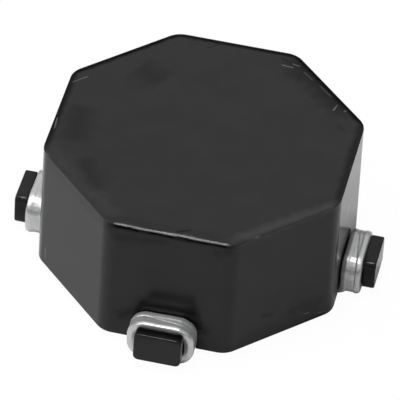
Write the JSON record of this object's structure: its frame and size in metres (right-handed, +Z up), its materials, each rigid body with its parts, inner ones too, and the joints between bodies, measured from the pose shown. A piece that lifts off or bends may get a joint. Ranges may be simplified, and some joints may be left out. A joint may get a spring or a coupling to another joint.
{
  "type": "surface-mount common mode choke",
  "caption": "Octagonal moulded cap over a ferrite ring with paired wire windings, whose ends wrap lugs round the foot as tinned solder terminals; it blocks common mode noise on a circuit board.",
  "frame": {"origin": "on the board plane under the centre of the case", "axes": "+Z up from the board to the flat roof, +X towards the right-hand lug, -Y towards the front lug"},
  "size_m": [0.0132, 0.0132, 0.0054],
  "materials": {
    "moulding": "black moulded plastic with a soft sheen",
    "ferrite": "dark grey fired ferrite with a thin clear coat",
    "enamelled_wire": "copper under clear reddish enamel",
    "tin": "solder dipped, bright satin tin",
    "resin": "set epoxy adhesive, pale amber"
  },
  "bodies": {
    "root": {"case": "moulding", "core": "ferrite", "winding_a": "enamelled_wire", "winding_b": "enamelled_wire", "terminal_front": "tin", "terminal_right": "tin", "terminal_back": "tin", "terminal_left": "tin", "adhesive": "resin"}
  },
  "joints": []
}
